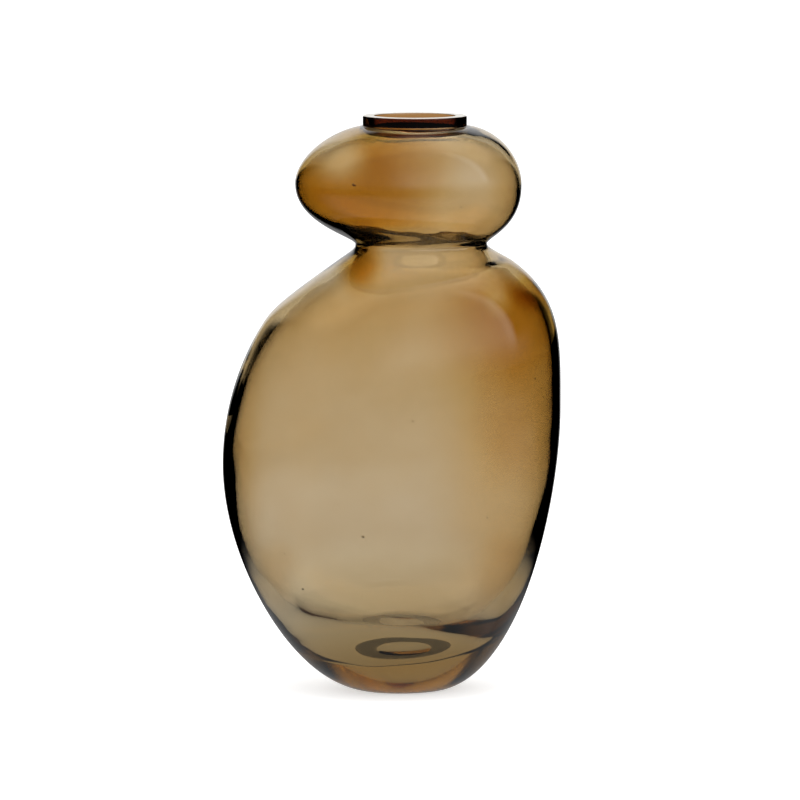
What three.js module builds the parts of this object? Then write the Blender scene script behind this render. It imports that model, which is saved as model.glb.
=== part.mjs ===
// Free-form vase of smoky amber glass: a small round bulb over a large leaning one.
// Millimetres, +Z up, the front towards -Y and the long shoulder towards -X.
// The real vase is one piece of glass with no loose or moving parts. It is divided at level
// planes into the zones a glassmaker names: foot, lower bulb, neck, upper bulb and rim collar.
// Neighbouring zones meet face to face on the plane between them.

import * as THREE from 'three';

// Heights.
const lowerBulbHeight = 217.5; // table to the waist between the two bulbs
const upperBulbHeight = 57.5; // waist to the underside of the collar
const collarHeight = 5;
const hipBelowWaist = 8; // the hip is where the shoulder turns into the neck

// Left side of the outline: reaches are measured outwards from the vertical axis.
const leftFootReach = 15.5;
const leftBellyReach = 82.2;
const leftBellyHeight = 110;
const leftShoulderReach = 61.7;
const leftShoulderDrop = 29.5; // hip down to the shoulder's bend
const leftHipReach = 26.2;
const leftWaistReach = 17.4;
const leftEquatorReach = 46.7;
const leftEquatorRise = 29.5; // above the waist
const leftCollarReach = 14;

// Right side of the outline.
const rightFootReach = 27;
const rightBellyReach = 82.2;
const rightBellyHeight = 138;
const rightHipReach = 58.5;
const rightWaistReach = 46;
const rightEquatorReach = 63;
const rightEquatorRise = 28.5;
const rightCollarReach = 36.5;

// Front and back, which are alike: the vase is shallower than it is wide.
const deepFootReach = 18.5;
const deepBellyReach = 70.5;
const deepBellyHeight = 122;
const deepHipReach = 41;
const deepWaistReach = 30.5;
const deepEquatorReach = 51.5;
const deepEquatorRise = 29;

// The bowl of the cavity: where its floor turns up into the wall, on each side.
const leftBowlReach = 43;
const leftBowlHeight = 34.5;
const rightBowlReach = 48;
const rightBowlHeight = 38.5;
const deepBowlReach = 35;
const deepBowlHeight = 40;
const floorCentre = -6; // the floor's lowest point, left of the vertical axis

// Glass thickness, square to the outer surface.
const baseThickness = 23;
const bellyWall = 4.7;
const shoulderWall = 4.9;
const hipWall = 4.8;
const waistWall = 6;
const equatorWall = 2.6;
const deepEquatorWall = 4.4; // the upper bulb is thicker at its front and back
const collarRootWall = 4.3;
const mouthWall = 5.6;
const throatDrop = 2; // straight mouth wall that runs on below the collar

// Ground pontil mark in the underside, and the ground edges of the rim.
const pontilRadius = 12.5;
const pontilDepth = 1.8;
const rimBevel = 0.5;

// Planes that divide the glass into its zones.
const footAboveFloor = 5; // foot's top above the cavity floor
const neckBelowWaist = 9;
const neckAboveWaist = 8;

// The foot is an uneven oval: its left end lies nearer the front than its right end.
const footSlant = 0.08; // depth offset for each mm of sideways reach
const footSlantFade = 45; // height at which the slant has died out

// Directions of the outline, in degrees from level outwards, 90 being straight up.
const leftFootRise = 10;
const rightFootRise = 14;
const leftShoulderLean = 123;
const hipLean = 144;
const leftCollarLean = 172;
const rightCollarLean = 176;
const deepFootRise = 10;
const deepCollarLean = 172;
const leftBowlRise = 36;
const rightBowlRise = 44;
const deepBowlRise = 47;

// Mesh fineness: steps round a ring, and bands between the rings of each zone.
const roundSteps = 48;
const pontilBands = 4;
const footBands = 6;
const floorBands = 5;
const bulbZoneBands = 6;
const heelCavityBands = 8;
const neckBands = 11;
const bulbBaseBands = 7;
const bulbCrownBands = 9;

// Over 1, these pack the bands towards the level where the glass curves most.
const footPacking = 2;
const heelPacking = 1.4;
const bulbBasePacking = 1.3;
const bulbCrownPacking = 1.7;

// Smoky amber, deeper where the glass is thick.
const thinAmber = 0xa98550;
const bulbAmber = 0xa47f48;
const shoulderAmber = 0xa07c48;
const heelAmber = 0x9a7644;
const neckAmber = 0x8a6638;
const footAmber = 0x7a5a30;
const collarAmber = 0x6b4d28;

const waistHeight = lowerBulbHeight;
const hipHeight = waistHeight - hipBelowWaist;
const collarRootHeight = waistHeight + upperBulbHeight;
const rimHeight = collarRootHeight + collarHeight;
const footTop = baseThickness + footAboveFloor;
const neckBottom = waistHeight - neckBelowWaist;
const neckTop = waistHeight + neckAboveWaist;
const footCentre = (rightFootReach - leftFootReach) / 2;
const deepCollarReach = (leftCollarReach + rightCollarReach) / 2; // the rim is round

// A landmark on an outline. before and after say how far the curve keeps to the landmark's
// direction, as shares of the straight distance to the landmark on that side.
function landmark(reach, height, direction, before, after, wall = 0) {
  return { reach, height, direction: THREE.MathUtils.degToRad(direction), before, after, wall };
}

const leftSide = [
  landmark(leftFootReach, 0, leftFootRise, 0, 0.28),
  landmark(leftBellyReach, leftBellyHeight, 90, 0.35, 0.34, bellyWall),
  landmark(leftShoulderReach, hipHeight - leftShoulderDrop, leftShoulderLean, 0.335, 0.2, shoulderWall),
  landmark(leftHipReach, hipHeight, hipLean, 0.54, 0.5, hipWall),
  landmark(leftWaistReach, waistHeight, 90, 0.2, 0.09, waistWall),
  landmark(leftEquatorReach, waistHeight + leftEquatorRise, 90, 0.475, 0.29, equatorWall),
  landmark(leftCollarReach, collarRootHeight, leftCollarLean, 0.375, 0, collarRootWall),
];

const rightSide = [
  landmark(rightFootReach, 0, rightFootRise, 0, 0.26),
  landmark(rightBellyReach, rightBellyHeight, 90, 0.29, 0.45, bellyWall),
  landmark(rightHipReach, hipHeight, hipLean, 0.4, 0.1, hipWall),
  landmark(rightWaistReach, waistHeight, 90, 0.1, 0.105, waistWall),
  landmark(rightEquatorReach, waistHeight + rightEquatorRise, 90, 0.62, 0.41, equatorWall),
  landmark(rightCollarReach, collarRootHeight, rightCollarLean, 0.33, 0, collarRootWall),
];

const deepSide = [
  landmark(deepFootReach, 0, deepFootRise, 0, 0.27),
  landmark(deepBellyReach, deepBellyHeight, 90, 0.32, 0.4, bellyWall),
  landmark(deepHipReach, hipHeight, hipLean, 0.45, 0.3, hipWall),
  landmark(deepWaistReach, waistHeight, 90, 0.15, 0.1, waistWall),
  landmark(deepEquatorReach, waistHeight + deepEquatorRise, 90, 0.55, 0.35, deepEquatorWall),
  landmark(deepCollarReach, collarRootHeight, deepCollarLean, 0.35, 0, collarRootWall),
];

const leftBowl = landmark(leftBowlReach, leftBowlHeight, leftBowlRise, 0.45, 0.2);
const rightBowl = landmark(rightBowlReach, rightBowlHeight, rightBowlRise, 0.4, 0.18);
const deepBowl = landmark(deepBowlReach, deepBowlHeight, deepBowlRise, 0.45, 0.22);

// Joins landmarks by cubic curves that pass through each one in its own direction.
function outline(landmarks) {
  const curves = [];
  for (let i = 1; i < landmarks.length; i++) {
    const from = landmarks[i - 1];
    const to = landmarks[i];
    const start = new THREE.Vector2(from.reach, from.height);
    const end = new THREE.Vector2(to.reach, to.height);
    const chord = start.distanceTo(end);
    const leave = new THREE.Vector2(Math.cos(from.direction), Math.sin(from.direction));
    const arrive = new THREE.Vector2(Math.cos(to.direction), Math.sin(to.direction));
    leave.multiplyScalar(from.after * chord).add(start);
    arrive.multiplyScalar(-to.before * chord).add(end);
    curves.push(new THREE.CubicBezierCurve(start, leave, arrive, end));
  }
  return curves;
}

// The reach of an outline at a height, found by halving the curve that spans it.
function reachAt(curves, height) {
  const curve = curves.find((candidate) => height <= candidate.v3.y) ?? curves.at(-1);
  let low = 0;
  let high = 1;
  const halvings = 40;
  for (let i = 0; i < halvings; i++) {
    const middle = (low + high) / 2;
    if (curve.getPoint(middle).y < height) low = middle;
    else high = middle;
  }
  return curve.getPoint((low + high) / 2).x;
}

// The cavity's outline follows the outer one at the stated wall thickness from the belly up.
// Below, a rounded floor rises through the bowl, and above it turns up into the straight mouth.
// These say how far a curve keeps to its direction, like the landmarks' before and after.
const floorFullness = 0.1;
const insideBellyFullness = 0.5;
const insideWaistFullness = 0.3;
const throatFullness = 0.5;
const mouthFullness = 0.3;

// Above the waist the cavity keeps upright before it swells, which leaves the glass thick under
// the upper bulb, most on the left.
const leftSwellFullness = 0.2;
const rightSwellFullness = 0.12;
const deepSwellFullness = 0.17;

function cavityOutline(side, bowl, floorReach, swellFullness) {
  const inside = side.slice(1).map((mark) => ({
    ...mark,
    reach: mark.reach - mark.wall * Math.sin(mark.direction),
    height: mark.height + mark.wall * Math.cos(mark.direction),
  }));
  const belly = inside[0];
  const waist = inside.at(-3);
  belly.before = insideBellyFullness;
  waist.before = insideWaistFullness;
  waist.after = swellFullness;
  inside.at(-1).after = throatFullness;
  const mouthReach = side.at(-1).reach - mouthWall;
  return outline([
    landmark(floorReach, baseThickness, 0, 0, floorFullness),
    bowl,
    ...inside,
    landmark(mouthReach, collarRootHeight - throatDrop, 90, throatFullness, mouthFullness),
    landmark(mouthReach, rimHeight, 90, mouthFullness, 0),
  ]);
}

const outer = {
  left: outline(leftSide),
  right: outline(rightSide),
  deep: outline(deepSide),
  slant: footSlant,
};

const cavity = {
  left: cavityOutline(leftSide, leftBowl, -floorCentre, leftSwellFullness),
  right: cavityOutline(rightSide, rightBowl, floorCentre, rightSwellFullness),
  deep: cavityOutline(deepSide, deepBowl, 0, deepSwellFullness),
  slant: 0,
};

// One level ring of points: an oval through the three outlines, slanted near the foot.
function ovalRing(left, right, deep, height, footShear = 0) {
  const points = [];
  const middle = (right - left) / 2;
  const halfWidth = (right + left) / 2;
  const slant = footShear * (1 - THREE.MathUtils.smoothstep(height, 0, footSlantFade));
  for (let i = 0; i < roundSteps; i++) {
    const angle = (2 * Math.PI * i) / roundSteps;
    const across = halfWidth * Math.cos(angle);
    points.push(new THREE.Vector3(middle + across, deep * Math.sin(angle) + slant * across, height));
  }
  return points;
}

function ringAt(surface, height) {
  const left = reachAt(surface.left, height);
  const right = reachAt(surface.right, height);
  return ovalRing(left, right, reachAt(surface.deep, height), height, surface.slant);
}

// Heights from one level to another. A power over 1 packs them towards the first.
function levels(from, to, count, power = 1) {
  const list = [];
  for (let i = 0; i < count; i++) list.push(from + (to - from) * (i / count) ** power);
  list.push(to);
  return list;
}

// Skins a run of rings into one closed body. A single point closes an end. Without end points
// the last ring joins the first, which leaves a passage through the middle.
function skin(rings) {
  const positions = [];
  const starts = [];
  for (const ring of rings) {
    starts.push(positions.length / 3);
    for (const point of ring) positions.push(point.x, point.y, point.z);
  }
  const faces = [];
  const corner = (ring, step) => starts[ring] + (rings[ring].length === 1 ? 0 : step % roundSteps);
  const passage = rings[0].length > 1;
  const bands = passage ? rings.length : rings.length - 1;
  for (let band = 0; band < bands; band++) {
    const next = (band + 1) % rings.length;
    for (let step = 0; step < roundSteps; step++) {
      if (rings[band].length > 1) faces.push(corner(band, step), corner(band, step + 1), corner(next, step + 1));
      if (rings[next].length > 1) faces.push(corner(band, step), corner(next, step + 1), corner(next, step));
    }
  }
  const geometry = new THREE.BufferGeometry();
  geometry.setAttribute('position', new THREE.Float32BufferAttribute(positions, 3));
  geometry.setIndex(faces);
  geometry.computeVertexNormals();
  return geometry;
}

function zone(name, rings, colour) {
  const glass = new THREE.MeshStandardMaterial({
    color: colour,
    roughness: 0.05,
    metalness: 0,
    transparent: true,
    opacity: 0.6,
  });
  const mesh = new THREE.Mesh(skin(rings), glass);
  mesh.name = name;
  return mesh;
}

// A zone with a passage through it: up the outside, then down the cavity wall.
function openZone(name, outerLevels, cavityLevels, colour) {
  const outside = outerLevels.map((height) => ringAt(outer, height));
  const inside = [...cavityLevels].reverse().map((height) => ringAt(cavity, height));
  return zone(name, [...outside, ...inside], colour);
}

// Solid base: pontil mark, level ground face, rounded heel, and the floor of the cavity.
function makeFoot() {
  const rings = [[new THREE.Vector3(footCentre, 0, pontilDepth)]];
  for (let i = 1; i <= pontilBands; i++) {
    const share = i / pontilBands;
    const radius = pontilRadius * share;
    rings.push(ovalRing(radius - footCentre, radius + footCentre, radius, 0, footSlant));
    for (const point of rings.at(-1)) point.z = pontilDepth * (1 - share ** 2);
  }
  for (const height of levels(0, footTop, footBands, footPacking)) rings.push(ringAt(outer, height));
  const floorLevels = levels(baseThickness, footTop, floorBands, footPacking).slice(1);
  for (const height of floorLevels.reverse()) rings.push(ringAt(cavity, height));
  rings.push([new THREE.Vector3(floorCentre, 0, baseThickness)]);
  return zone('foot', rings, footAmber);
}

// The lower bulb, from the foot's top to the neck, in zones of equal height. The heel's cavity
// wall curves most at its bottom.
function makeLowerBulb() {
  const names = ['heel', 'lower_belly', 'upper_belly', 'shoulder'];
  const colours = [heelAmber, thinAmber, thinAmber, shoulderAmber];
  const planes = levels(footTop, neckBottom, names.length);
  return names.map((name, i) => {
    const outside = levels(planes[i], planes[i + 1], bulbZoneBands);
    const inside = i === 0 ? levels(planes[0], planes[1], heelCavityBands, heelPacking) : outside;
    return openZone(name, outside, inside, colours[i]);
  });
}

function makeNeck() {
  const heights = levels(neckBottom, neckTop, neckBands);
  return openZone('neck', heights, heights, neckAmber);
}

// The upper bulb in a lower and an upper half. The crown's levels close up under the collar.
function makeUpperBulb() {
  const middle = (neckTop + collarRootHeight) / 2;
  const lowerHalf = levels(middle, neckTop, bulbBaseBands, bulbBasePacking).reverse();
  const upperHalf = levels(collarRootHeight, middle, bulbCrownBands, bulbCrownPacking).reverse();
  return [
    openZone('upper_bulb_base', lowerHalf, lowerHalf, bulbAmber),
    openZone('upper_bulb_crown', upperHalf, upperHalf, bulbAmber),
  ];
}

// The rim collar stands straight up, is ground flat on top and has a fine bevel at both edges.
function makeRimCollar() {
  const collarRing = (inset, height) =>
    ovalRing(leftCollarReach - inset, rightCollarReach - inset, deepCollarReach - inset, height);
  const rings = [
    collarRing(0, collarRootHeight),
    collarRing(0, rimHeight - rimBevel),
    collarRing(rimBevel, rimHeight),
    collarRing(mouthWall - rimBevel, rimHeight),
    collarRing(mouthWall, rimHeight - rimBevel),
    collarRing(mouthWall, collarRootHeight),
  ];
  return zone('rim_collar', rings, collarAmber);
}

const vase = new THREE.Group();
vase.add(makeFoot(), ...makeLowerBulb(), makeNeck(), ...makeUpperBulb(), makeRimCollar());

export default vase;
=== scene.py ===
import math

import bmesh
import bpy
import numpy as np
from mathutils import Matrix, Vector, noise


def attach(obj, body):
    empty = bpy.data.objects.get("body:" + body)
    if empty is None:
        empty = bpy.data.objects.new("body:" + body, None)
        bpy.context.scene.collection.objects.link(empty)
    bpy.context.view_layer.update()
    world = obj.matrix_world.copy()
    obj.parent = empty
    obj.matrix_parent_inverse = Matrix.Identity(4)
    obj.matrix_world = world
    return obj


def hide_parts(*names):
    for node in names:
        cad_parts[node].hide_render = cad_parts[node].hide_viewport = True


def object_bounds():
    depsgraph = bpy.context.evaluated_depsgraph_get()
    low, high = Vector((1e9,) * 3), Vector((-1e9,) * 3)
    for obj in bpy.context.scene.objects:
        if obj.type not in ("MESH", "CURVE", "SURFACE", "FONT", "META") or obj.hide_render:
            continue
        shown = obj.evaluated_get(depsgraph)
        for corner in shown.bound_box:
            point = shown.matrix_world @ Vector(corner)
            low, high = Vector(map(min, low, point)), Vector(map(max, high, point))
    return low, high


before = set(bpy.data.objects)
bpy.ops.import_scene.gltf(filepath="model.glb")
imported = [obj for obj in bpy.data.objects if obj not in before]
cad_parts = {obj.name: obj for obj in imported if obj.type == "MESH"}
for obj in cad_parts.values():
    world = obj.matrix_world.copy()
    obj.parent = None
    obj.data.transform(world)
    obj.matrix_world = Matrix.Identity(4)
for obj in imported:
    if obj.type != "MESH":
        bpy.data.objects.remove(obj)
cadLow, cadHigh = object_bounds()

mm = 0.001
print("frame loaded, box", [round(v, 4) for v in cadLow], [round(v, 4) for v in cadHigh])


def linear(hexColour):
    # sRGB hex to the linear colour that Blender's sockets take
    parts = [int(hexColour[i:i + 2], 16) / 255 for i in (0, 2, 4)]
    return [c / 12.92 if c <= 0.04045 else ((c + 0.055) / 1.055) ** 2.4 for c in parts]


def addNode(tree, kind, links=None, outputs=None, **settings):
    # one node: links maps an input to another node's socket, settings go on inputs or on the node itself
    node = tree.nodes.new(kind)
    for name, value in settings.items():
        socket = name.replace("_", " ")
        if socket in node.inputs:
            node.inputs[socket].default_value = value
        else:
            setattr(node, name, value)
    for name, source in (links or {}).items():
        tree.links.new(source, node.inputs[name])
    for name, target in (outputs or {}).items():
        tree.links.new(node.outputs[name], target)
    return node


def maths(tree, operation, first, second=0.0):
    node = addNode(tree, "ShaderNodeMath", operation=operation)
    for slot, value in enumerate((first, second)):
        if isinstance(value, (int, float)):
            node.inputs[slot].default_value = value
        else:
            tree.links.new(value, node.inputs[slot])
    return node.outputs[0]


def times(tree, first, second):
    return maths(tree, "MULTIPLY", first, second)


def ramp(tree, source, stops, unit=1.0):
    # smooth passage between two places: where it starts and ends, then the value before and after it
    start, end, before, after = stops
    node = addNode(tree, "ShaderNodeMapRange", links={"Value": source}, interpolation_type="SMOOTHSTEP",
                   From_Min=start * unit, From_Max=end * unit, To_Min=before, To_Max=after)
    return node.outputs[0]


def mixValues(tree, share, first, second):
    return addNode(tree, "ShaderNodeMix", links={0: share, 2: first, 3: second}).outputs[0]


def freshTree(holder):
    holder.use_nodes = True
    holder.node_tree.nodes.clear()
    return holder.node_tree


# The vase's outline, the same landmarks as the solids have.
# reach mm, height mm, direction in degrees, how far the curve keeps to it before and after, wall mm
outline = {
    "left": [
        (15.5, 0, 10, 0, 0.28, 0),
        (82.2, 110, 90, 0.35, 0.34, 4.7),
        (61.7, 180, 123, 0.335, 0.2, 4.9),
        (26.2, 209.5, 144, 0.54, 0.5, 4.8),
        (17.4, 217.5, 90, 0.2, 0.09, 6),
        (46.7, 247, 90, 0.475, 0.29, 2.6),
        (14, 275, 172, 0.375, 0, 4.3),
    ],
    "right": [
        (27, 0, 14, 0, 0.26, 0),
        (82.2, 138, 90, 0.29, 0.45, 4.7),
        (58.5, 209.5, 144, 0.4, 0.1, 4.8),
        (46, 217.5, 90, 0.1, 0.105, 6),
        (63, 246, 90, 0.62, 0.41, 2.6),
        (36.5, 275, 176, 0.33, 0, 4.3),
    ],
    "deep": [
        (18.5, 0, 10, 0, 0.27, 0),
        (70.5, 122, 90, 0.32, 0.4, 4.7),
        (41, 209.5, 144, 0.45, 0.3, 4.8),
        (30.5, 217.5, 90, 0.15, 0.1, 6),
        (51.5, 246.5, 90, 0.55, 0.35, 4.4),
        (25.25, 275, 172, 0.35, 0, 4.3),
    ],
}

# where the bottom of the cavity turns up into the wall, in the same terms
bowl = {
    "left": (43, 34.5, 36, 0.45, 0.2),
    "right": (48, 38.5, 44, 0.4, 0.18),
    "deep": (35, 40, 47, 0.45, 0.22),
}

vase = {
    "base": 23,  # glass under the cavity
    "footCentre": 5.75,
    "floorCentre": -6,
    "floorFullness": 0.1,
    "insideBellyFullness": 0.5,
    "insideWaistFullness": 0.3,
    "throatFullness": 0.5,
    "mouthFullness": 0.3,
    "neckRise": {"left": 0.2, "right": 0.12, "deep": 0.17},
    "mouthWall": 5.6,
    "throatTop": 273,
    "collarRoot": 275,
    "rimTop": 280,
    "rimBevel": 0.5,
    "pontilRadius": 12.5,
    "pontilDepth": 1.8,
    "pontilRings": 9,
    "slant": 0.08,
    "slantFade": 45,
    "rootEdge": 0.3,  # mm from a corner to the ring that keeps the shading flat beside it
    "rimEdge": 0.2,
    "bevelEdge": 0.5,
    "floorEdge": 0.004,
    "waveSize": 26,  # mm, the cavity's slow unevenness
    "waveDepth": 0.35,
    "wavePlace": (3.1, 2.17, 0),
    "floorCalm": 10,  # mm over which it sets in above the floor and dies out below the rim
    "rimCalm": 12,
    "curveSteps": 400,
    "wallSteps": 4000,
    "roundSteps": 180,
    "ringStep": 1.6,  # mm along the wall from ring to ring
}


def heading(degrees):
    return np.array([math.cos(math.radians(degrees)), math.sin(math.radians(degrees))])


def cubicChain(marks):
    # points along cubic curves that pass through each landmark in its own direction
    pieces = []
    for a, b in zip(marks[:-1], marks[1:]):
        start, end = np.array(a[:2], float), np.array(b[:2], float)
        chord = np.linalg.norm(end - start)
        leave = start + a[4] * chord * heading(a[2])
        arrive = end - b[3] * chord * heading(b[2])
        t = np.linspace(0, 1, vase["curveSteps"])[:, None]
        u = 1 - t
        pieces.append(u ** 3 * start + 3 * u * u * t * leave + 3 * u * t * t * arrive + t ** 3 * end)
    return np.concatenate(pieces)


def cavityMarks(side, floorReach):
    # the inside follows the outside at the wall thickness, from a level floor up into the straight mouth
    inside = []
    marks = outline[side]
    for reach, height, direction, before, after, wall in marks[1:]:
        turn = math.radians(direction)
        place = [reach - wall * math.sin(turn), height + wall * math.cos(turn)]
        inside.append([*place, direction, before, after])
    inside[-3][3] = vase["insideWaistFullness"]
    inside[-3][4] = vase["neckRise"][side]
    inside[-1][4] = vase["throatFullness"]
    inside[0][3] = vase["insideBellyFullness"]
    mouth = marks[-1][0] - vase["mouthWall"]
    floor = (floorReach, vase["base"], 0, 0, vase["floorFullness"])
    throat = (mouth, vase["throatTop"], 90, vase["throatFullness"], vase["mouthFullness"])
    rim = (mouth, vase["rimTop"], 90, vase["mouthFullness"], 0)
    return [floor, bowl[side], *inside, throat, rim]


outer = {side: cubicChain(marks) for side, marks in outline.items()}
floorReaches = {"left": -vase["floorCentre"], "right": vase["floorCentre"], "deep": 0}
cavity = {side: cubicChain(cavityMarks(side, floorReaches[side])) for side in outline}


def reaches(surface, height):
    return [float(np.interp(height, surface[s][:, 1], surface[s][:, 0])) for s in ("left", "right", "deep")]


def ovalRing(left, right, deep, height, slanted=True):
    middle, half = (right - left) / 2, (right + left) / 2
    fade = min(max(height / vase["slantFade"], 0), 1)
    slant = vase["slant"] * (1 - fade * fade * (3 - 2 * fade)) if slanted else 0
    turn = np.linspace(0, 2 * math.pi, vase["roundSteps"], endpoint=False)
    across = half * np.cos(turn)
    return np.stack([middle + across, deep * np.sin(turn) + slant * across, np.full_like(turn, height)], 1)


def wallHeights(surface, low, high):
    # heights whose rings lie evenly along the mean outline
    fine = low + (high - low) * (1 - np.cos(np.linspace(0, math.pi, vase["wallSteps"]))) / 2
    mean = sum(np.interp(fine, surface[s][:, 1], surface[s][:, 0]) for s in surface) / 3
    run = np.concatenate([[0], np.cumsum(np.hypot(np.diff(mean), np.diff(fine)))])
    count = max(2, int(run[-1] / vase["ringStep"]))
    return np.interp(np.linspace(0, run[-1], count + 1), run, fine)


def wobble(points, depth):
    # slow unevenness of a surface that was blown and not cut
    out = points.copy()
    centre = points.mean(0)
    shift = Vector(vase["wavePlace"])
    for i, p in enumerate(points):
        value = noise.noise(Vector(p / vase["waveSize"]) + shift)
        away = p - centre
        length = math.hypot(away[0], away[1]) or 1
        out[i, 0] += away[0] / length * value * depth
        out[i, 1] += away[1] / length * value * depth
    return out


def vaseRings():
    rings = []
    centre = vase["footCentre"]
    for share in np.linspace(0, 1, vase["pontilRings"] + 1)[1:]:  # ground hollow under the foot
        radius = vase["pontilRadius"] * share
        ring = ovalRing(radius - centre, radius + centre, radius, 0)
        ring[:, 2] = vase["pontilDepth"] * (1 - share ** 2)
        rings.append(ring)
    for height in wallHeights(outer, 0, vase["collarRoot"]):
        rings.append(ovalRing(*reaches(outer, height), height))
    left, right, deep = reaches(outer, vase["collarRoot"])
    bevelFoot = vase["rimTop"] - vase["rimBevel"]
    for inset, height in (
        (0, vase["collarRoot"] + vase["rootEdge"]),
        (0, bevelFoot - vase["rimEdge"]),
        (0, bevelFoot),
        (vase["rimBevel"], vase["rimTop"]),
        (vase["mouthWall"] - vase["rimBevel"], vase["rimTop"]),
        (vase["mouthWall"], bevelFoot),
    ):
        rings.append(ovalRing(left - inset, right - inset, deep - inset, height))
    inside = wallHeights(cavity, vase["base"] + vase["floorEdge"], bevelFoot - vase["bevelEdge"])
    for height in inside[::-1]:
        ring = ovalRing(*reaches(cavity, height), height, slanted=False)
        fade = min(1, max(0, (height - vase["base"]) / vase["floorCalm"]))
        fade = fade * min(1, (vase["rimTop"] - height) / vase["rimCalm"])
        rings.append(wobble(ring, vase["waveDepth"] * fade))
    return rings


def meshFromRings(name, rings, startPole, endPole):
    steps = vase["roundSteps"]
    points = np.concatenate([[startPole], *rings, [endPole]]) * mm
    points = np.clip(points, cadLow, cadHigh)  # finer rings, but none outside the solids' box
    faces = []
    last = len(points) - 1
    for i in range(steps):
        j = (i + 1) % steps
        faces.append((0, 1 + j, 1 + i))
        faces.append((last, last - steps + i, last - steps + j))
    for band in range(len(rings) - 1):
        a, b = 1 + band * steps, 1 + (band + 1) * steps
        for i in range(steps):
            j = (i + 1) % steps
            faces.append((a + i, a + j, b + j, b + i))
    mesh = bpy.data.meshes.new(name)
    mesh.from_pydata([tuple(p) for p in points], [], faces)
    mesh.validate()
    return mesh


seeds = {
    # gas bubbles that stayed in the wall: x and z in mm, width in mm, length to width
    "inFront": [
        (-41.6, 55.6, 1.1, 1.0),
        (-13.4, 83.0, 1.0, 1.5),
        (-50.6, 72.6, 0.7, 1.0),
        (45.4, 90.7, 0.8, 1.0),
        (68.6, 156.0, 0.9, 1.1),
        (10.1, 138.9, 0.7, 1.3),
        (-22.5, 107.8, 0.5, 1.0),
        (-25.2, 98.5, 0.5, 1.0),
        (-17.6, 249.3, 1.2, 1.6),
        (32.9, 239.0, 0.7, 1.0),
    ],
    "lean": 20,  # degrees
    "steps": 12,
}


def addSeeds(mesh):
    # each bubble is a small closed surface that faces into the bubble, in the middle of the front wall
    edit = bmesh.new()
    edit.from_mesh(mesh)
    for x, z, width, stretch in seeds["inFront"]:
        left, right, deep = reaches(outer, z)
        middle, half = (right - left) / 2, (right + left) / 2
        insideDeep = reaches(cavity, z)[2]
        front = -(deep + insideDeep) / 2 * math.sqrt(1 - ((x - middle) / half) ** 2)
        place = Matrix.Translation(Vector((x, front, z)) * mm)
        place = place @ Matrix.Rotation(math.radians(seeds["lean"]), 4, "Y")
        place = place @ Matrix.Diagonal((stretch, 1, 1, 1))
        bubble = bmesh.ops.create_uvsphere(edit, u_segments=2 * seeds["steps"], v_segments=seeds["steps"],
                                           radius=width / 2 * mm, matrix=place)
        faces = {face for vertex in bubble["verts"] for face in vertex.link_faces}
        bmesh.ops.reverse_faces(edit, faces=list(faces))
    edit.to_mesh(mesh)
    edit.free()


def buildVase():
    rings = vaseRings()
    mesh = meshFromRings("vaseGlass", rings, (vase["footCentre"], 0, vase["pontilDepth"]),
                         (vase["floorCentre"], 0, vase["base"]))
    addSeeds(mesh)
    mesh.shade_smooth()
    vaseObject = bpy.data.objects.new("vase_glass", mesh)
    bpy.context.scene.collection.objects.link(vaseObject)
    print("vase mesh", len(mesh.vertices), "points,", len(mesh.polygons), "faces")
    return vaseObject


amber = {
    "ior": 1.5,
    "absorption": (14, 19.5, 32),  # per metre for red, green and blue, in the glass itself
    "density": 90,
    # what one wall does to white light where the colour is thin, as usual, deep and deepest
    "stains": [(0.0, "eeeae1"), (0.4, "e5dbca"), (0.9, "dfcca8"), (1.4, "cca554"), (1.8, "b17c2d")],
    # how deep the colour is, partly the glass's uneven tint and partly painted light and shade: from mm, to
    # mm, depth before and after
    "rises": [(42, 68, 0, 0.38), (84, 124, 0, 0.25), (130, 192, 0, 0.33)],
    "underNeck": (192, 208, 1, 0.62),
    "rightSide": (10, 64, 0, 0.48),
    "leftSide": (-74, -58, 0.3, 0),
    "bulbStart": (214, 222, 0, 1),
    "bulbAcross": (-10, 40, 1.38, 0.8),
    "bulbRight": (44, 60, 0, 0.2),
    "spots": [  # x, z and reach in mm, and how much deeper or paler the colour is there
        (-16, 209, 16, 0.8),
        # painted shade on the right shoulder, where the light runs a long slanting way through the wall
        (68, 196, 14, 0.35),
        (51, 192, 9, -0.3),
        (60, 45, 26, 0.5),
        (-60, 48, 20, 0.6),
        (-26, 261, 20, -0.45),
        (38, 250, 18, -0.15),
        (40, 226, 18, 0.2),
    ],
    "spotCore": 0.2,  # share of a spot's reach with its full colour
    # the collar's stain at the back, darkened at the front by painted shade
    "collarStainAndShade": ("ab8152", "743719"),  # at the back and at the front
    "collarStart": (274.6, 275.4, 0, 1),
    "collarShadeFront": (-8, 4, 1, 0),
    "groundWhite": "e6e4de",
    "groundRoughness": 0.42,
    "groundOpaque": 0.7,
    "groundRim": (279.7, 279.9, 0, 1),
    "groundFoot": (0.05, 0.15, 1, 0),
    "cloudSize": 26,  # mm, slow clouds in the colour
    "cloudDepth": 0.14,
    "grainSize": 1.6,  # mm, cords and grain in the glass, coarser than real so that they show
    "grainDepth": 0.03,
    "waveSize": 24,  # mm, uneven blown faces
    "waveDepth": 0.25,
    "gritSize": 0.25,  # mm, tooth of the ground faces
    "gritDepth": 0.05,
}


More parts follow.
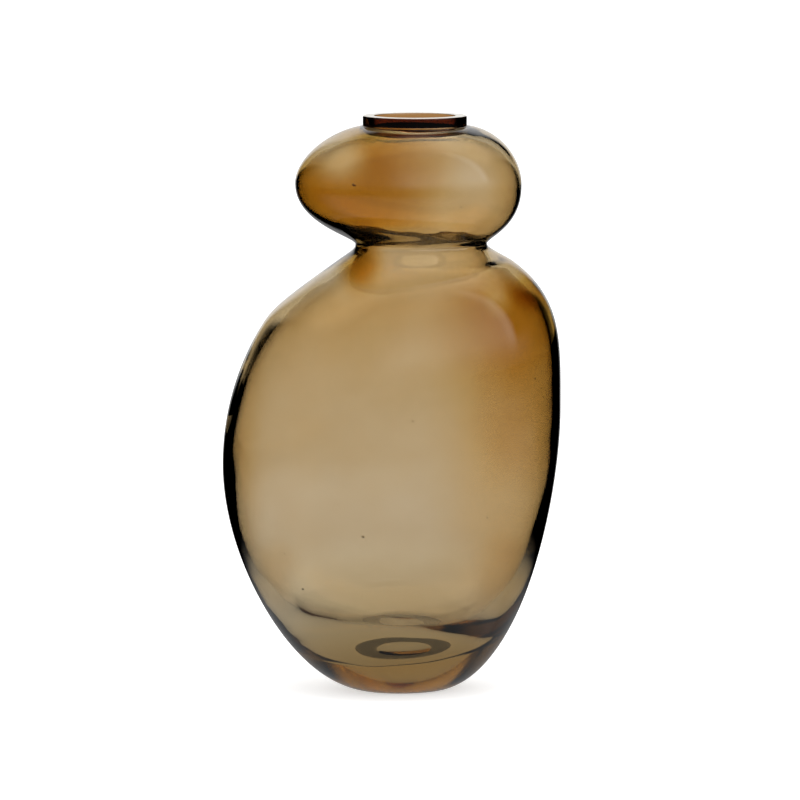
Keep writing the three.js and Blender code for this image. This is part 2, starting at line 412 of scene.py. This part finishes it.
def stainAndShadeDepth(tree, place):
    # In the lower bulb the colour deepens with height and to the sides, and pales again under the neck. This
    # is partly the glass's uneven tint and partly painted light and shade: paler low down, where light from
    # the table comes up through the glass, and deeper at the sides, where the light runs a long way through
    # the wall. In the upper bulb it is deepest on the left. The spots are the deep and pale patches that show
    # besides; the deep one on the right shoulder is painted shade.
    split = addNode(tree, "ShaderNodeSeparateXYZ", links={0: place})
    x, z = split.outputs["X"], split.outputs["Z"]
    # partly painted light: paler low down, where light from the table comes up through the glass
    low, middle, top = (ramp(tree, z, stops, mm) for stops in amber["rises"])
    body = maths(tree, "ADD", maths(tree, "ADD", low, middle), top)
    body = times(tree, body, ramp(tree, z, amber["underNeck"], mm))
    # partly painted shade: deeper towards the sides, where the light runs a long way through the wall
    sides = maths(tree, "ADD", ramp(tree, x, amber["rightSide"], mm), ramp(tree, x, amber["leftSide"], mm))
    body = maths(tree, "ADD", body, sides)
    bulb = maths(tree, "ADD", ramp(tree, x, amber["bulbAcross"], mm), ramp(tree, x, amber["bulbRight"], mm))
    depth = mixValues(tree, ramp(tree, z, amber["bulbStart"], mm), body, bulb)
    for spotX, spotZ, size, amount in amber["spots"]:
        away = addNode(tree, "ShaderNodeCombineXYZ", links={0: maths(tree, "SUBTRACT", x, spotX * mm),
                                                            1: maths(tree, "SUBTRACT", z, spotZ * mm)})
        run = addNode(tree, "ShaderNodeVectorMath", links={0: away.outputs[0]}, operation="LENGTH")
        spot = ramp(tree, run.outputs["Value"], (amber["spotCore"] * size, size, amount, 0), mm)
        depth = maths(tree, "ADD", depth, spot)
    return depth, z


def noiseAt(tree, place, size, detail=2.0):
    # noise around zero, with features of a size in mm
    node = addNode(tree, "ShaderNodeTexNoise", links={"Vector": place}, Scale=1 / (size * mm), Detail=detail)
    return maths(tree, "SUBTRACT", node.outputs[0], 0.5)


def amberGlass():
    # Soda-lime glass in smoky amber, blown by hand: uneven in colour, with painted light and shade in its
    # colour map besides, deep where the light has a long way through it, fire-polished outside and in. The
    # rim and the resting ring under the foot are ground matt.
    material = bpy.data.materials.new("smokyAmberBlownGlass")
    tree = freshTree(material)
    output = addNode(tree, "ShaderNodeOutputMaterial")
    place = addNode(tree, "ShaderNodeTexCoord").outputs["Object"]
    depth, z = stainAndShadeDepth(tree, place)
    clouds = times(tree, noiseAt(tree, place, amber["cloudSize"]), 2 * amber["cloudDepth"])
    grain = times(tree, noiseAt(tree, place, amber["grainSize"], 4.0), 2 * amber["grainDepth"])
    depth = maths(tree, "ADD", depth, maths(tree, "ADD", clouds, grain))

    deepest = amber["stains"][-1][0]
    stain = addNode(tree, "ShaderNodeValToRGB", links={0: maths(tree, "DIVIDE", depth, deepest)})
    stops = stain.color_ramp.elements
    while len(stops) < len(amber["stains"]):
        stops.new(0.5)
    for stop, (position, colour) in zip(stops, amber["stains"]):
        stop.position = position / deepest
        stop.color = (*linear(colour), 1)

    # painted shade: the collar is darker at its front than at its back
    y = addNode(tree, "ShaderNodeSeparateXYZ", links={0: place}).outputs["Y"]
    shadeToFront = ramp(tree, y, amber["collarShadeFront"], mm)
    band = addNode(tree, "ShaderNodeMix", links={0: shadeToFront}, data_type="RGBA")
    band.inputs[6].default_value = (*linear(amber["collarStainAndShade"][0]), 1)
    band.inputs[7].default_value = (*linear(amber["collarStainAndShade"][1]), 1)
    collar = ramp(tree, z, amber["collarStart"], mm)
    colour = addNode(tree, "ShaderNodeMix", links={0: collar, 6: stain.outputs[0], 7: band.outputs[2]},
                     data_type="RGBA")
    ground = maths(tree, "MAXIMUM", ramp(tree, z, amber["groundRim"], mm),
                   ramp(tree, z, amber["groundFoot"], mm))
    frosted = addNode(tree, "ShaderNodeMix", links={0: ground, 6: colour.outputs[2]}, data_type="RGBA")
    frosted.inputs[7].default_value = (*linear(amber["groundWhite"]), 1)

    waves = times(tree, noiseAt(tree, place, amber["waveSize"], 1.0), amber["waveDepth"])
    grit = times(tree, noiseAt(tree, place, amber["gritSize"]), times(tree, ground, amber["gritDepth"]))
    bump = addNode(tree, "ShaderNodeBump", links={"Height": maths(tree, "ADD", waves, grit)}, Distance=mm)
    clear = maths(tree, "SUBTRACT", 1.0, times(tree, ground, amber["groundOpaque"]))
    addNode(tree, "ShaderNodeBsdfPrincipled", outputs={"BSDF": output.inputs["Surface"]},
            links={"Base Color": frosted.outputs[2], "Normal": bump.outputs[0], "Transmission Weight": clear,
                   "Roughness": times(tree, ground, amber["groundRoughness"])},
            IOR=amber["ior"])
    absorbed = [1 - a / amber["density"] for a in amber["absorption"]] + [1]
    addNode(tree, "ShaderNodeVolumeAbsorption", outputs={"Volume": output.inputs["Volume"]},
            Color=absorbed, Density=amber["density"])
    return material


camera = {
    "distance": 3.0,
    "height": 0.469,
    "side": 0.0041,
    "aimHeight": 0.14144,
    "lens": 279.4,
    "sensor": 36,
    "farthest": 50,
}

# The light that the glass meets. Each row is a smooth passage along x, y or z of a direction, or along a
# distance: where it starts and ends, then the strength before and after it.
room = {
    "leftByHeight": (-0.1, 0.1, 1.5, 0.3),
    "rightByHeight": (0.35, 0.95, 1.25, 0.65),
    "leftToRight": (-0.45, 0.1, 0, 1),
    "softEdge": (-0.25, 0.4, 1, 0),
    "windowEdge": (-0.1, 0, 1, 0),
    "windowSide": (0, 0.3, 0, 1),
    "windowHeight": (0.05, 0.3, 0, 1),
    "streakIn": (-0.25, -0.1, 0, 0.45),
    "streakOut": (-0.04, 0.02, 1, 0),
    "streakSide": (0.15, 0.5, 0, 1),
    "streakHeight": (0, 0.2, 0, 1),
    "ceiling": (0.75, 0.95, 0, 0.8),
    "ceilingSide": (-0.3, 0.2, 0.3, 1),
    "paperWidth": (0.24, 0.37, 1, 0),
    "paperBehind": (0.3, 0.5, 0, 1),
    "paperTop": (0.45, 0.65, 1, 0),
    "paperLight": 0.8,
    "horizon": (-0.05, 0.3, 0.12, 1),
    "caughtPaper": 0.9,
    "caughtLean": 0.6,  # how much wider the paper gets with height for light caught in a wall
    "caughtHigh": (0.5, 0.8, 0, 2.6),
    "caughtBehind": (-0.2, 0.2, 0, 1),
    "caughtSides": (0.6, 0.85, 0, 0.4),
}

table = {
    "radius": 8.0,
    "sides": 64,
    "white": 0.8,
    "lift": 0.58,
    "footAcross": 21.25,  # half the resting face, mm
    "footAlong": 18.5,
    # by distance from the foot's middle, in foot sizes
    "footEdge": (0.98, 1.02, 0, 1),
    # painted shadow on the table under the foot and round its edge, and a painted pool of light over it, seen
    # only in and through the glass
    "underHollowShade": (0.58, 0.64, 0.75, 0.7),
    "wedgeShadow": (1.05, 1.6, 0.6, 1),
    "caughtRingShade": (0.96, 1.04, 0.48, 1),
    "caughtHollowGlow": (0.58, 0.64, 1.8, 1),
    # by distance in metres
    # painted shade close to the foot and a painted glow round it, in what the outer faces mirror
    "near": (0.04, 0.1, 0.126, 0.42),
    "glow": (0.1, 0.3, 0.3, 0),
    "far": (0.5, 1.3, 1, 0.15),
    # painted pool of light close to the foot, for light caught in the walls
    "caughtLight": (0.08, 0.16, 0.68, 0),
}


def buildCamera():
    data = bpy.data.cameras.new("camera")
    data.lens = camera["lens"]
    data.sensor_width = camera["sensor"]
    data.clip_end = camera["farthest"]
    cameraObject = bpy.data.objects.new("camera", data)
    cameraObject.location = (camera["side"], -camera["distance"], camera["height"])
    aim = Vector((camera["side"], 0, camera["aimHeight"]))
    cameraObject.rotation_euler = (aim - cameraObject.location).to_track_quat("-Z", "Y").to_euler()
    bpy.context.scene.collection.objects.link(cameraObject)
    bpy.context.scene.camera = cameraObject


def paperRoll(tree, x, y, z):
    # the strip of white paper that hangs behind the vase and runs down on to the table
    strip = times(tree, ramp(tree, maths(tree, "ABSOLUTE", x), room["paperWidth"]),
                  ramp(tree, y, room["paperBehind"]))
    return times(tree, strip, ramp(tree, z, room["paperTop"]))


def roomLight(tree, x, y, z, horizon):
    # What the glass's outer faces mirror, by direction: a soft light low on the left, a window on the right
    # with a sharp edge and a streak along it, a dim ceiling, and behind the vase only the paper.
    toRight = ramp(tree, x, room["leftToRight"])
    level = mixValues(tree, toRight, ramp(tree, z, room["leftByHeight"]),
                      ramp(tree, z, room["rightByHeight"]))
    hard = times(tree, ramp(tree, x, room["windowSide"]), ramp(tree, z, room["windowHeight"]))
    edge = mixValues(tree, hard, ramp(tree, y, room["softEdge"]), ramp(tree, y, room["windowEdge"]))
    front = times(tree, level, edge)
    streak = times(tree, ramp(tree, y, room["streakIn"]),
                   times(tree, ramp(tree, y, room["streakOut"]), ramp(tree, x, room["streakSide"])))
    streak = times(tree, streak, ramp(tree, z, room["streakHeight"]))
    ceiling = times(tree, ramp(tree, z, room["ceiling"]), ramp(tree, x, room["ceilingSide"]))
    light = times(tree, maths(tree, "MAXIMUM", maths(tree, "ADD", front, streak), ceiling), horizon)
    return maths(tree, "MAXIMUM", light, times(tree, paperRoll(tree, x, y, z), room["paperLight"]))


def byWayOfGlass(tree, path, straight, mirrored, caught):
    # light that came straight through the glass, off an outer face, or out of a wall that it was caught in
    reflected = maths(tree, "GREATER_THAN", path.outputs["Glossy Depth"], 0.5)
    inside = maths(tree, "GREATER_THAN", path.outputs["Transmission Depth"], 0.5)
    faces = mixValues(tree, inside, mirrored, caught)
    mix = addNode(tree, "ShaderNodeMix", links={0: reflected, 3: faces})
    if isinstance(straight, float):
        mix.inputs[2].default_value = straight
    else:
        tree.links.new(straight, mix.inputs[2])
    return mix.outputs[0]


def footDistance(tree, x, y):
    # distance from the foot's middle in foot sizes, 1 at the edge of the resting face
    across = maths(tree, "SUBTRACT", x, vase["footCentre"] * mm)
    along = maths(tree, "SUBTRACT", y, times(tree, across, vase["slant"]))
    across = maths(tree, "DIVIDE", across, table["footAcross"] * mm)
    along = maths(tree, "DIVIDE", along, table["footAlong"] * mm)
    return maths(tree, "SQRT", maths(tree, "ADD", times(tree, across, across), times(tree, along, along)))


def buildFloor():
    # White table. To the camera it is plain white with the vase's soft shadow. Straight through the glass it
    # is white as well, with a painted shadow under the foot and a painted contact shadow in the air round its
    # edge. The outer faces mirror a table that is lit like the room, with painted shade close to the foot and
    # a painted glow round it, and light caught in the walls meets it only close to the foot, as a painted
    # pool of light.
    mesh = bpy.data.meshes.new("floor")
    turn = np.linspace(0, 2 * math.pi, table["sides"], endpoint=False)
    corners = [(table["radius"] * math.cos(t), table["radius"] * math.sin(t), 0) for t in turn]
    mesh.from_pydata(corners, [], [tuple(range(table["sides"]))])
    floor = bpy.data.objects.new("floor", mesh)
    bpy.context.scene.collection.objects.link(floor)
    material = bpy.data.materials.new("whiteTable")
    tree = freshTree(material)
    output = addNode(tree, "ShaderNodeOutputMaterial")
    path = addNode(tree, "ShaderNodeLightPath")
    place = addNode(tree, "ShaderNodeTexCoord")
    split = addNode(tree, "ShaderNodeSeparateXYZ", links={0: place.outputs["Object"]})
    x, y = split.outputs["X"], split.outputs["Y"]
    foot = footDistance(tree, x, y)
    reach = addNode(tree, "ShaderNodeVectorMath", links={0: place.outputs["Object"]}, operation="LENGTH")
    reach = reach.outputs["Value"]

    # painted shadow under the foot and in the air round its edge, for light straight through the glass
    outside = ramp(tree, foot, table["footEdge"])
    under = times(tree, ramp(tree, foot, table["underHollowShade"]), maths(tree, "SUBTRACT", 1.0, outside))
    straight = maths(tree, "MAXIMUM", under, times(tree, ramp(tree, foot, table["wedgeShadow"]), outside))

    away = maths(tree, "ADD", reach, mm)  # never zero
    level = addNode(tree, "ShaderNodeValue")
    level.outputs[0].default_value = 0
    lit = roomLight(tree, maths(tree, "DIVIDE", x, away), maths(tree, "DIVIDE", y, away), level.outputs[0],
                    ramp(tree, reach, table["far"]))
    # painted shade close to the foot and a painted glow round it
    mirrored = maths(tree, "MAXIMUM", times(tree, lit, ramp(tree, reach, table["near"])),
                     ramp(tree, reach, table["glow"]))

    # painted pool of light close to the foot, darker over the resting face and brighter under the hollow
    caught = times(tree, ramp(tree, reach, table["caughtLight"]), ramp(tree, foot, table["caughtRingShade"]))
    caught = times(tree, caught, ramp(tree, foot, table["caughtHollowGlow"]))

    strength = byWayOfGlass(tree, path, straight, mirrored, caught)
    glow = addNode(tree, "ShaderNodeEmission", links={"Strength": strength})
    diffuse = addNode(tree, "ShaderNodeBsdfDiffuse", Color=(*[table["white"]] * 3, 1))
    lift = addNode(tree, "ShaderNodeEmission", Strength=table["lift"])
    shown = addNode(tree, "ShaderNodeAddShader", links={0: diffuse.outputs[0], 1: lift.outputs[0]})
    seen = addNode(tree, "ShaderNodeMixShader", links={0: path.outputs["Is Camera Ray"],
                                                       1: diffuse.outputs[0], 2: shown.outputs[0]})
    glassy = maths(tree, "MAXIMUM", path.outputs["Is Transmission Ray"], path.outputs["Is Glossy Ray"])
    addNode(tree, "ShaderNodeMixShader", links={0: glassy, 1: seen.outputs[0], 2: glow.outputs[0]},
            outputs={0: output.inputs["Surface"]})
    mesh.materials.append(material)


def buildWorld():
    # White behind the vase and straight through it. The outer faces mirror the room. Light caught inside a
    # wall meets the paper, which looks wider to it higher up, some light from above and behind, a little
    # from both sides, and otherwise black cards: that is where the dark edges of the glass come from.
    world = bpy.data.worlds.new("studio")
    bpy.context.scene.world = world
    tree = freshTree(world)
    output = addNode(tree, "ShaderNodeOutputWorld")
    path = addNode(tree, "ShaderNodeLightPath")
    place = addNode(tree, "ShaderNodeTexCoord")
    split = addNode(tree, "ShaderNodeSeparateXYZ", links={0: place.outputs["Generated"]})
    x, y, z = (split.outputs[axis] for axis in "XYZ")
    mirrored = roomLight(tree, x, y, z, ramp(tree, z, room["horizon"]))

    aside = maths(tree, "ABSOLUTE", x)
    spread = maths(tree, "SUBTRACT", aside, times(tree, z, room["caughtLean"]))
    paper = paperRoll(tree, maths(tree, "MAXIMUM", spread, 0.0), y, z)
    high = times(tree, ramp(tree, z, room["caughtHigh"]), ramp(tree, y, room["caughtBehind"]))
    sides = ramp(tree, aside, room["caughtSides"])
    caught = maths(tree, "ADD", times(tree, paper, room["caughtPaper"]), maths(tree, "ADD", high, sides))

    addNode(tree, "ShaderNodeBackground", links={"Strength": byWayOfGlass(tree, path, 1.0, mirrored, caught)},
            outputs={0: output.inputs["Surface"]}, Color=(1, 1, 1, 1))


def softbox(name, place, aim, size, power):
    # lights the table and gives the shadow, and the glass doesn't see it
    data = bpy.data.lights.new(name, "AREA")
    data.shape = "RECTANGLE"
    data.size, data.size_y = size
    data.energy = power
    lamp = bpy.data.objects.new(name, data)
    lamp.location = place
    lamp.rotation_euler = (Vector(aim) - Vector(place)).to_track_quat("-Z", "Y").to_euler()
    lamp.visible_camera = False
    lamp.visible_glossy = False
    lamp.visible_transmission = False
    bpy.context.scene.collection.objects.link(lamp)


bpy.context.scene.view_settings.view_transform = "Standard"
buildCamera()
buildFloor()
buildWorld()
softbox("softboxTop", place=(0, -0.2, 1.3), aim=(0, 0, 0.14), size=(0.9, 0.6), power=8)
print("studio ready")

vaseObject = buildVase()
vaseObject.data.materials.append(amberGlass())
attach(vaseObject, "root")
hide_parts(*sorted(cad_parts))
print("vase ready")
